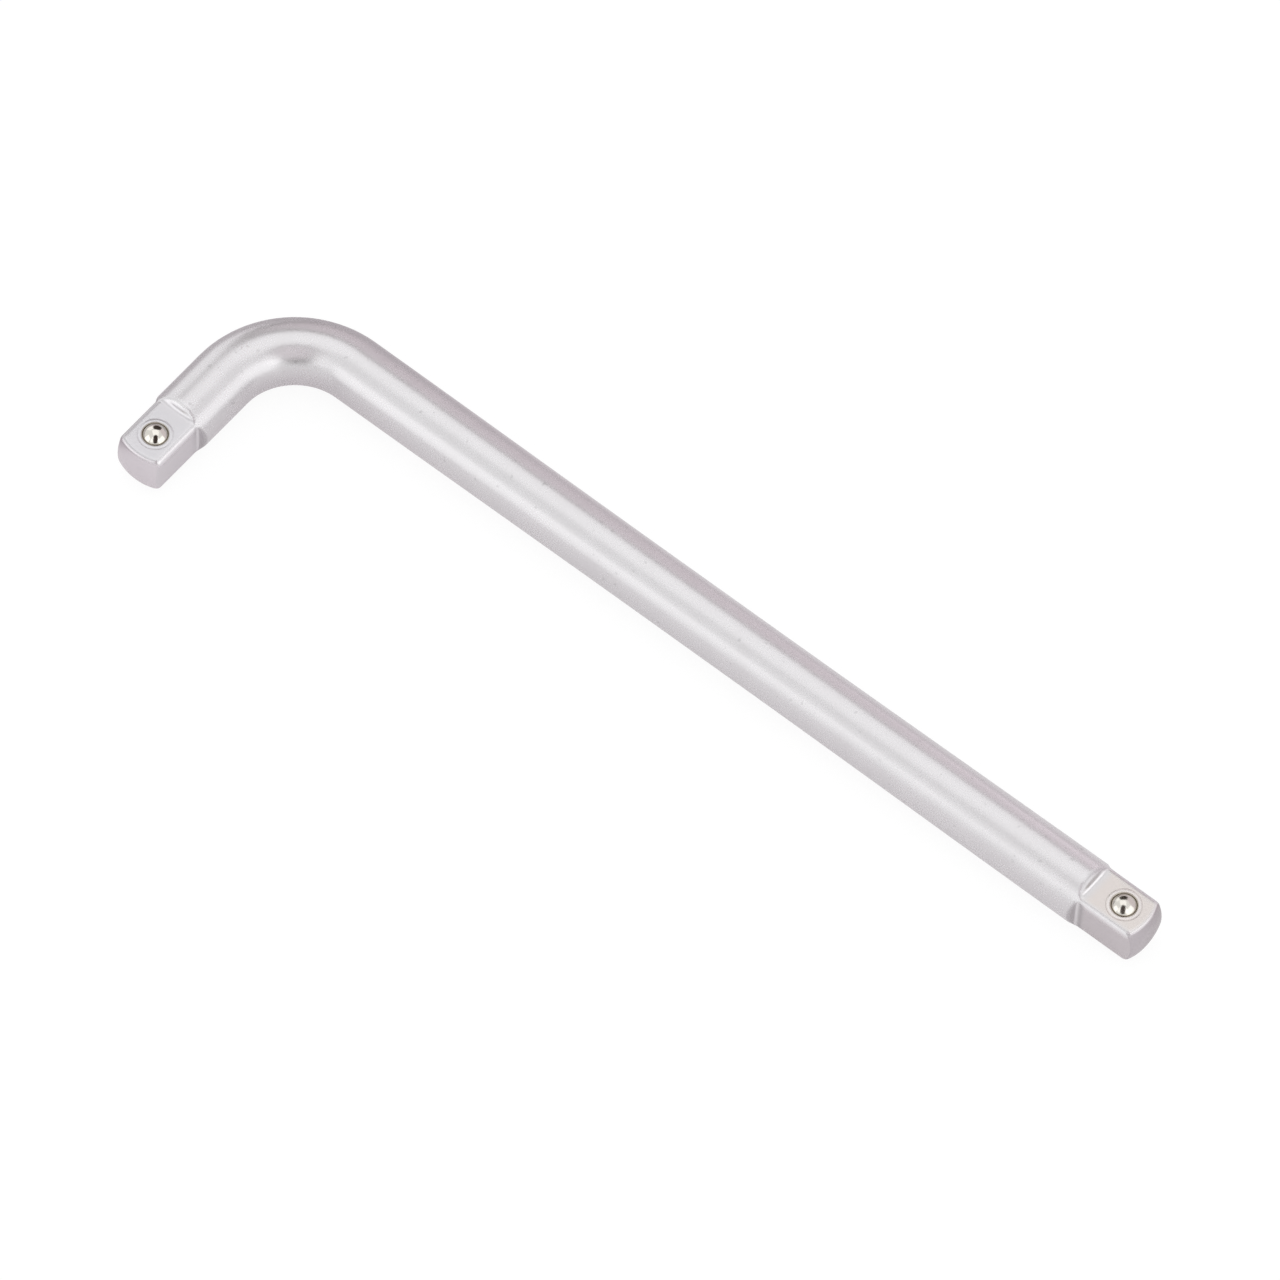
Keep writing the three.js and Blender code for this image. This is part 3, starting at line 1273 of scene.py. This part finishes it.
    def masks_at(self, spots: Spots) -> dict[str, np.ndarray]:
        """Works out where the steel was milled, and where its foot and its edges are, with the painted
        highlights and painted shade on them.

        Args:
            spots: Places on the drive's skin.

        Returns:
            The masks machined, top, crown, shoulder, fillet, wall, edge, lit_edge, across and long_end.
        """
        edge_lighting, runs, depths = EDGE_LIGHTING[self.arm], self.runs, self.depths(spots)
        along, up, side = spots
        past_flat = along - self.flat_length
        on_top = up > np.abs(side)
        milled = np.maximum(depths.flat, depths.crown) - depths.bar
        crown = depths.crown - np.maximum(depths.bar, depths.flat)
        machined = smooth_rise(0.5 + milled / runs.border)
        off_crown = smooth_rise(0.5 - crown / runs.border)
        top = smooth_rise(1 - (up - self.half) / runs.border) * off_crown * on_top
        border = smooth_rise(1 + np.maximum(depths.bar, depths.crown) / runs.top_border)
        shoulder = smooth_rise(1 + past_flat / runs.shoulder)

        # The foot: a painted highlight along the fillet, painted shade on the cut wall behind it, and a
        # painted shade line before it.
        into_cut = smooth_rise(-depths.bar / runs.into_cut)
        cut = into_cut * smooth_rise((along - self.drive_length) / runs.border + 1)
        fillet = ridge(past_flat - runs.fillet_past_flat, runs.fillet) * machined * into_cut
        fillet = fillet * np.where(on_top, edge_lighting.top_fillet, 1.0)
        dark_foot = ridge(past_flat + runs.dark_foot_before, runs.dark_foot) * ~on_top * machined
        wall = cut * np.where(on_top, edge_lighting.top_wall, 1.0)

        # The edges: a painted highlight on the lit side, painted shade on the other, and the crown's edge on
        # top, lit on one square and shaded on the other.
        lit_side = smooth_rise(0.5 + edge_lighting.lit_side * side / runs.sides)
        before_foot = smooth_rise(-past_flat / runs.before_foot) * off_crown
        upper = smooth_rise((up - self.half + runs.upper_reach) / runs.upper_fade) * before_foot
        corner = smooth_rise(1 + depths.bar / runs.corner) * upper * lit_side
        corner = corner * smooth_rise((self.half - up) / edge_lighting.corner_drop)
        tip_edge = smooth_rise(1 + depths.crown / edge_lighting.tip_edge_on_flat)
        tip_edge = tip_edge * smooth_rise(1 + depths.flat / edge_lighting.tip_edge_on_crown) * on_top
        lit_edge = np.maximum(corner * edge_lighting.corner_shine, tip_edge * edge_lighting.tip_shine)
        second_depth = np.sort(np.stack(depths), axis=0)[1]
        dark_edge = smooth_rise(1 + second_depth / runs.dark_edge) * before_foot * (1 - lit_side)
        dark_edge = np.maximum(dark_edge, tip_edge * edge_lighting.tip_shade)
        masks = {
            "machined": machined,
            "top": top,
            "crown": smooth_rise(0.5 + crown / runs.border),
            "shoulder": np.maximum(shoulder, border * top),
            "fillet": np.maximum(fillet, cut * on_top * edge_lighting.top_cut),
            "wall": np.maximum(wall, dark_foot * edge_lighting.foot_shade),
            "edge": np.maximum(dark_edge, lit_edge),
            "lit_edge": lit_edge,
            "across": smooth_rise(0.5 + side / runs.across),
            "long_end": np.full_like(along, float(self.is_long)),
        }
        return {name: values.ravel() for name, values in masks.items()}


@dataclass
class Shank:
    """The round bar between the two drives, bent once, swept by a rule along its centre line."""

    bar: BarLine
    start: float
    end: float
    step: float = 1.5 * MM

    def skin(self, turns: np.ndarray, material: bpy.types.Material) -> Skin:
        """Sweeps the bar.

        Args:
            turns: Angles of the points round the bar, so that it meets the drives point to point.
            material: The bar's finish.

        Returns:
            The open tube from one drive to the other.
        """
        bar = self.bar
        rule = Rule("bent_bar_rule")
        sheet = rule.sheet
        steps = rule.size("Steps", round((self.end - self.start) / self.step))
        start = rule.size("Start", self.start)
        length = rule.size("Length", self.end - self.start)
        bend_start = rule.size("Bend Start", bar.bend_start)
        bend_radius = rule.size("Bend Radius", bar.bend_radius)
        waist = rule.size("Waist Radius", bar.waist_radius)
        bend_swell = rule.size("Bend Swell", bar.bend_swell)
        bend_reach = rule.size("Bend Swell Reach", bar.bend_reach)
        end_swell = rule.size("End Swell", bar.end_swell)
        end_reach = rule.size("End Swell Reach", bar.end_reach)
        shoulder = rule.size("Long Shoulder", bar.length - bar.shoulder)
        crossing = [rule.size(f"Crossing {axis}", value) for axis, value in zip("XYZ", bar.crossing)]

        distance = start + sheet.node("GeometryNodeInputIndex") * (length / steps)
        bend_end = bend_start + bend_radius * QUARTER
        turned = ((distance - bend_start) / bend_radius).within(0.0, QUARTER)
        x = crossing[0] + bend_radius * (1 - turned.cosine()) + (distance - bend_end).at_least(0.0)
        y = crossing[1] + bend_radius * (turned.sine() - 1) + (distance - bend_start).at_most(0.0)
        swell = bend_swell * (1 - (distance - bend_end) / bend_reach).smooth_rise()
        swell = swell + end_swell * (1 - (shoulder - distance) / end_reach).smooth_rise()
        outline = sheet.node("GeometryNodeMeshToCurve", None, {"Mesh": rule.given()})
        middle = sheet.point(x, y, crossing[2])
        rule.finish(rule.sweep(steps, middle, outline, waist + swell, level=True), material)

        ring = bpy.data.meshes.new("bar_outline")
        corners = [(math.sin(turn), -math.cos(turn), 0.0) for turn in turns]
        around = [(j, (j + 1) % len(turns)) for j in range(len(turns))]
        ring.from_pydata(corners, around, [])
        return rule.skin(ring)


@dataclass
class ForgedBar:
    """The handle's one forging: the bent bar with a square drive at each end."""

    bar: BarLine
    finish: SatinChrome

    def build(self) -> bpy.types.Object:
        """Puts the bar together and dresses it.

        Returns:
            The piece, riding on the handle's body.
        """
        material = self.finish.make()
        drives = [SquareDrive(arm, self.bar) for arm in Arm]
        short, long = drives
        shank = Shank(self.bar, short.stub_length, self.bar.length - long.stub_length)
        skin = shank.skin(short.turns(), material)
        for drive in drives:
            skin.add(drive.shell())
            skin.add(drive.patch())
        made = skin.piece("forged_bar", material)
        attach(made, "handle")
        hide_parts("handle_bar")
        return made


@dataclass
class DetentBall:
    """The ball in one drive, as a round cube with no poles, so that its mirror has no star in it."""

    arm: Arm
    bar: BarLine
    finish: BallSteel
    detent: Detent = Detent()
    steps: int = 28

    def build(self) -> bpy.types.Object:
        """Makes the ball and dresses it.

        Returns:
            The piece, riding on its own body.
        """
        span = np.tan(np.linspace(-math.pi / 4, math.pi / 4, self.steps + 1))
        first, second = np.meshgrid(span, span, indexing="ij")
        skin = Skin(np.empty((0, 3)), [])
        centre = self.bar.over_axis(self.arm, self.detent.from_tip, self.detent.ball_height)
        side = self.steps + 1
        quads = [(i * side + j, (i + 1) * side + j, (i + 1) * side + j + 1, i * side + j + 1)
                 for i in range(self.steps) for j in range(self.steps)]
        for axis in range(3):
            for way in (1.0, -1.0):
                cube = np.empty((side * side, 3))
                cube[:, axis] = way
                cube[:, (axis + 1) % 3] = first.ravel() * way
                cube[:, (axis + 2) % 3] = second.ravel()
                cube /= np.linalg.norm(cube, axis=1, keepdims=True)
                skin.add(Skin(centre + cube * self.detent.ball_radius, list(quads)))
        made = skin.piece(f"{self.arm.value}_detent_ball", self.finish.make())
        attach(made, f"{self.arm.value}_ball")
        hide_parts(f"{self.arm.value}_end_ball")
        return made


@dataclass
class DetentSpring:
    """The compression spring under one ball, coiled by a rule, with closed and ground ends."""

    arm: Arm
    bar: BarLine
    finish: bpy.types.Material
    detent: Detent = Detent()
    outer_diameter: float = 6 * MM
    wire_diameter: float = 0.5 * MM
    turns: int = 3
    steps_per_turn: int = 40
    wire_sides: int = 12
    closed_turns: float = 0.6
    closed_pitch: float = 1.02
    ground: float = 0.12 * MM
    weld: float = 0.0005 * MM

    def build(self) -> bpy.types.Object:
        """Coils the spring and dresses it.

        Returns:
            The piece, standing in the handle's body.
        """
        bottom = self.bar.over_axis(self.arm, self.detent.from_tip, self.detent.spring_bottom)
        skin = self.coil(bottom)
        made = skin.piece(f"{self.arm.value}_detent_spring", self.finish, self.weld)
        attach(made, "handle")
        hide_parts(f"{self.arm.value}_end_spring")
        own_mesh(made)
        return made

    def coil(self, bottom: np.ndarray) -> Skin:
        """Coils the wire: closed turns at both ends, open ones between them, and both ends ground flat.

        Args:
            bottom: Middle of the spring's lower end, at the height of the wire's middle.

        Returns:
            The closed skin of the wire.
        """
        rule = Rule(f"{self.arm.value}_spring_rule")
        sheet = rule.sheet
        steps = rule.size("Steps per Turn", self.steps_per_turn)
        turns = rule.size("Turns", self.turns)
        closed = rule.size("Closed Turns", self.closed_turns)
        wire = rule.size("Wire Diameter", self.wire_diameter)
        radius = rule.size("Coil Radius", (self.outer_diameter - self.wire_diameter) / 2)
        length = rule.size("Length", self.detent.spring_length)
        ground = rule.size("Ground", self.ground)
        sides = rule.size("Wire Sides", self.wire_sides)
        foot = [rule.size(f"Bottom {axis}", float(value)) for axis, value in zip("XYZ", bottom)]

        turned = sheet.node("GeometryNodeInputIndex") / steps
        angle = turned * (2 * math.pi)
        in_closed = turned.at_most(closed) + (turned - turns + closed).at_least(0.0)
        in_open = (turned - closed).within(0.0, turns - 2 * closed)
        open_pitch = (length - 2 * closed * wire * self.closed_pitch) / (turns - 2 * closed)
        rise = in_closed * wire * self.closed_pitch + in_open * open_pitch
        x, y = foot[0] + radius * angle.cosine(), foot[1] + radius * angle.sine()
        middle = sheet.point(x, y, foot[2] + rise)
        section = {"Resolution": sides, "Radius": wire / 2}
        outline = sheet.node("GeometryNodeCurvePrimitiveCircle", {"mode": "RADIUS"}, section)
        coiled = rule.sweep(steps * turns, middle, outline, caps=True)
        height = sheet.part(sheet.node("GeometryNodeInputPosition"), "Z")
        low = foot[2] - wire / 2 + ground
        high = foot[2] + length + wire / 2 - ground
        flat = sheet.point(height.twin("X"), height.twin("Y"), height.within(low, high))
        ends = sheet.node("GeometryNodeSetPosition", None, {"Geometry": coiled, "Position": flat})
        rule.finish(ends, self.finish)
        return rule.skin(bpy.data.meshes.new("spring_start"))


def facing(centre: Place) -> Matrix:
    """Where a panel stands that has its face to the handle.

    Args:
        centre: The panel's middle.

    Returns:
        The panel's place and turn, with its -Z side to the handle.
    """
    middle = Vector(centre)
    return Matrix.Translation(middle) @ (-middle).to_track_quat("-Z", "Y").to_matrix().to_4x4()


def stage_face(name: str, corners: list[list[float]], material: bpy.types.Material) -> bpy.types.Object:
    """Makes one flat face of the studio.

    Args:
        name: The face's name.
        corners: Its corners, in order.
        material: What it is covered with.

    Returns:
        The face, as stage.
    """
    mesh = bpy.data.meshes.new(name)
    mesh.from_pydata(corners, [], [tuple(range(len(corners)))])
    mesh.materials.append(material)
    made = linked(name, mesh)
    return made


class Outline(Enum):
    """The shapes that a soft box comes in."""

    SQUARE = "RECTANGLE"
    ROUND = "ELLIPSE"


@dataclass(frozen=True)
class SoftBox:
    """One soft light: a flat panel that looks at the handle, or only at the pieces that it names."""

    name: str
    centre: Place
    width: float
    height: float
    level: float
    tint: Colour = (1.0, 1.0, 1.0)
    outline: Outline = Outline.SQUARE
    only_on: tuple[str, ...] = ()

    def build(self) -> None:
        """Hangs the light, with the power that gives its panel the wanted level."""
        lamp = bpy.data.lights.new(self.name, "AREA")
        lamp.shape = self.outline.value
        lamp.size = self.width
        lamp.size_y = self.height
        lamp.energy = self.level * math.pi * self.width * self.height
        lamp.color = self.tint
        made = linked(self.name, lamp)
        made.matrix_world = facing(self.centre)
        made.visible_camera = False
        if self.only_on:
            lit = bpy.data.collections.new(f"{self.name}_reach")
            for name in self.only_on:
                lit.objects.link(bpy.data.objects[name])
            made.light_linking.receiver_collection = lit


@dataclass(frozen=True)
class DarkCard:
    """One rounded dark card that only the steel sees: painted shade where the real room had a gap in its
    light.
    """

    name: str
    centre: Place
    width: float
    height: float
    colour: Colour
    squareness: float = 3.0
    corners: int = 48

    def build(self) -> None:
        """Hangs the card with its face to the handle."""
        material, sheet = new_material(f"{self.name}_cloth")
        sheet.surface(sheet.node("ShaderNodeBsdfDiffuse", None, {"Color": self.colour}))
        turns = np.linspace(0, 2 * math.pi, self.corners, endpoint=False)
        power = 2 / self.squareness
        x = self.width / 2 * np.sign(np.cos(turns)) * np.abs(np.cos(turns))**power
        y = self.height / 2 * np.sign(np.sin(turns)) * np.abs(np.sin(turns))**power
        made = stage_face(self.name, np.stack([x, y, 0 * x], axis=1).tolist(), material)
        made.data.transform(facing(self.centre))
        made.visible_camera = False
        made.visible_diffuse = False
        made.visible_shadow = False


@dataclass(frozen=True)
class PaleFloor:
    """The floor, white to the eye, which keeps the handle's soft shadow.

    The steel sees it paler in front of the handle than behind it, and darkest behind the bend: a painted
    shadow that only the steel sees.
    """

    half: float = 6.0
    colour: Colour = (0.86, 0.86, 0.86)
    glow: Colour = (1.04, 1.04, 1.04)
    glow_share: float = 0.85
    mirror_share: float = 0.42
    near_tone: Colour = (0.97, 0.90, 0.93)
    far_shadow_tone: Colour = (0.64, 0.565, 0.60)
    bend_shadow_tone: Colour = (0.52, 0.475, 0.50)
    # Which way the back lies, and where the back's painted shadow starts and how soon it is full.
    back_way: tuple[float, float] = (-0.6, 0.8)
    back_start: float = 0.03
    back_fade: float = 0.10
    # Left of the handle all of the floor counts as its back.
    left_end: float = -0.139
    left_fade: float = 0.02
    # From here to the right the long arm's painted shadow tone takes the place of the bend's.
    arm_start: float = -0.14
    arm_fade: float = 0.08

    def build(self) -> None:
        """Lays the floor."""
        material, sheet = new_material("pale_floor")
        matte = sheet.node("ShaderNodeBsdfDiffuse", None, {"Color": self.colour})
        x = sheet.part(sheet.where(), "X")
        towards_back = x.twin("Y") * self.back_way[1] + x * self.back_way[0]
        back = ((towards_back - self.back_start) / self.back_fade).smooth_rise()
        back = back.at_least(((self.left_end - x) / self.left_fade).smooth_rise())
        behind_arm = ((x - self.arm_start) / self.arm_fade).smooth_rise()
        far_shadow_tone = sheet.mix(behind_arm, self.bend_shadow_tone, self.far_shadow_tone)
        tone = sheet.mix(back, self.near_tone, far_shadow_tone)
        camera = sheet.node("ShaderNodeLightPath", None, None, "Is Camera Ray")
        mirrored = (camera.twin("Is Glossy Ray") + camera.twin("Is Transmission Ray")).at_most(1.0)
        shown = sheet.mix(camera, tone, self.glow)
        glow = sheet.node("ShaderNodeEmission", None, {"Color": shown, "Strength": 1.0})
        mirror_share = self.mirror_share + back * (1 - self.mirror_share)
        share = camera * self.glow_share + mirrored * mirror_share
        sheet.surface(sheet.node("ShaderNodeMixShader", None, {"Fac": share, 1: matte, 2: glow}))
        half = self.half
        corners = [[-half, -half, 0.0], [half, -half, 0.0], [half, half, 0.0], [-half, half, 0.0]]
        stage_face("floor", corners, material)


@dataclass(frozen=True)
class WhiteRoom:
    """The white room, which the steel sees mauve low down on its far side."""

    light_level: float = 0.85
    far_tint: Colour = (0.86, 0.785, 0.82)
    far_start: float = 0.42
    far_fade: float = 0.28
    low_end: float = 0.80
    low_fade: float = 0.18

    def build(self) -> None:
        """Sets the world up, at strength 1 to the camera and to the steel."""
        world = bpy.data.worlds.new("white_room")
        world.use_nodes = True
        world.node_tree.nodes.clear()
        bpy.context.scene.world = world
        sheet = Sheet(world.node_tree)
        way = sheet.node("ShaderNodeTexCoord", None, None, "Generated")
        height = sheet.part(way, "Z")
        far = ((height.twin("Y") - self.far_start) / self.far_fade).smooth_rise()
        low = ((self.low_end - height) / self.low_fade).smooth_rise()
        glossy = sheet.node("ShaderNodeLightPath", None, None, "Is Glossy Ray")
        colour = sheet.mix(far * low * glossy, (1.0, 1.0, 1.0), self.far_tint)
        seen = (glossy + glossy.twin("Is Camera Ray") + glossy.twin("Is Transmission Ray")).at_most(1.0)
        strength = self.light_level + seen * (1 - self.light_level)
        back = sheet.node("ShaderNodeBackground", None, {"Color": colour, "Strength": strength})
        sheet.node("ShaderNodeOutputWorld", None, {"Surface": back})


@dataclass(frozen=True)
class Viewpoint:
    """The camera, where the photograph was taken from.

    Angles are in degrees. The aim is counted to the right and upwards from where both axes cross.
    """

    crossing: Place
    distance: float = 3.2
    azimuth: float = 36.18
    elevation: float = 58.96
    roll: float = 3.535
    aim: tuple[float, float] = (87.95 * MM, -79.33 * MM)
    lens: float = 364.4
    sensor_width: float = 36.0

    def build(self) -> None:
        """Stands the camera up."""
        azimuth, elevation, roll = map(math.radians, (self.azimuth, self.elevation, self.roll))
        flat = math.cos(elevation)
        back = Vector((math.sin(azimuth) * flat, -math.cos(azimuth) * flat, math.sin(elevation)))
        level = Vector((math.cos(azimuth), math.sin(azimuth), 0.0))
        upright = back.cross(level)
        right = math.cos(roll) * level + math.sin(roll) * upright
        up = math.cos(roll) * upright - math.sin(roll) * level
        aim = Vector(self.crossing) + right * self.aim[0] + up * self.aim[1]
        turn = Matrix((right, up, back)).transposed().to_4x4()
        lens = bpy.data.cameras.new("camera")
        lens.sensor_width = self.sensor_width
        lens.lens = self.lens
        camera = linked("camera", lens)
        camera.matrix_world = Matrix.Translation(aim + back * self.distance) @ turn
        bpy.context.scene.camera = camera


@dataclass
class Studio:
    """The floor, the room, the soft lights, the dark gaps that the polished steel sees, and the camera."""

    bar: BarLine
    cards: tuple[DarkCard, ...] = (
        DarkCard("camera_gap", (0.377, -0.560, 0.804), 0.74, 1.50, (0.046, 0.031, 0.026)),
        DarkCard("far_gap", (-0.577, 0.845, 0.490), 0.92, 0.98, (0.056, 0.042, 0.036)),
    )
    room_boxes: tuple[SoftBox, ...] = (
        SoftBox("overhead_box", (-0.24, 0.22, 1.20), 1.02, 1.25, 0.42),
        SoftBox("front_left_box", (-0.74, -1.00, 0.42), 0.85, 0.95, 0.68),
        SoftBox("left_box", (-1.20, 0.55, 0.45), 1.00, 0.90, 0.35),
        SoftBox("right_box", (1.06, 0.08, 0.48), 1.40, 0.90, 0.62),
        SoftBox("near_left_box", (0.016, -0.900, 0.700), 0.42, 0.85, 0.58),
        SoftBox("near_right_box", (0.768, -0.374, 0.770), 0.42, 0.75, 0.65),
    )
    # Both fills light the bar and not the balls, which keep the dark gaps.
    fill_boxes: tuple[SoftBox, ...] = (
        SoftBox(
            "gap_fill", (0.320, -0.441, 0.840), 0.56, 0.92, 0.60,
            tint=(1.0, 0.9, 0.96), outline=Outline.ROUND, only_on=("forged_bar",),
        ),
        SoftBox(
            "far_fill", (-0.436, 0.875, 0.440), 0.92, 0.74, 0.56,
            tint=(1.0, 0.88, 0.945), outline=Outline.ROUND, only_on=("forged_bar",),
        ),
    )

    def build(self) -> None:
        """Sets the studio up."""
        for stand in (PaleFloor(), WhiteRoom(), *self.cards, *self.room_boxes, *self.fill_boxes):
            stand.build()
        Viewpoint(self.bar.crossing).build()


def report(piece: bpy.types.Object) -> None:
    """Logs one piece's name, triangle count and size.

    Args:
        piece: The finished piece.
    """
    mesh = piece.data
    mesh.calc_loop_triangles()
    size = ", ".join(f"{value / MM:.2f}" for value in piece.dimensions)
    LOG.info("%s: %d triangles, %s mm", piece.name, len(mesh.loop_triangles), size)


def main() -> None:
    """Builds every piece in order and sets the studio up."""
    logging.basicConfig(level=logging.INFO, format="%(name)s %(message)s", stream=sys.stdout)
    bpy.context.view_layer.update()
    bpy.context.scene.view_settings.view_transform = "Standard"
    bar = BarLine()
    report(ForgedBar(bar, SatinChrome()).build())
    wire = DrawnWire().make()
    # The long arm's ball has been turned more than the short arm's, and is a little duller.
    steels = {
        Arm.SHORT: BallSteel("mirror_steel_finish", roughness=0.12),
        Arm.LONG: BallSteel("worn_steel_finish", roughness=0.18),
    }
    for arm in Arm:
        report(DetentBall(arm, bar, steels[arm]).build())
        report(DetentSpring(arm, bar, wire).build())
    Studio(bar).build()


if __name__ == "__main__":
    main()
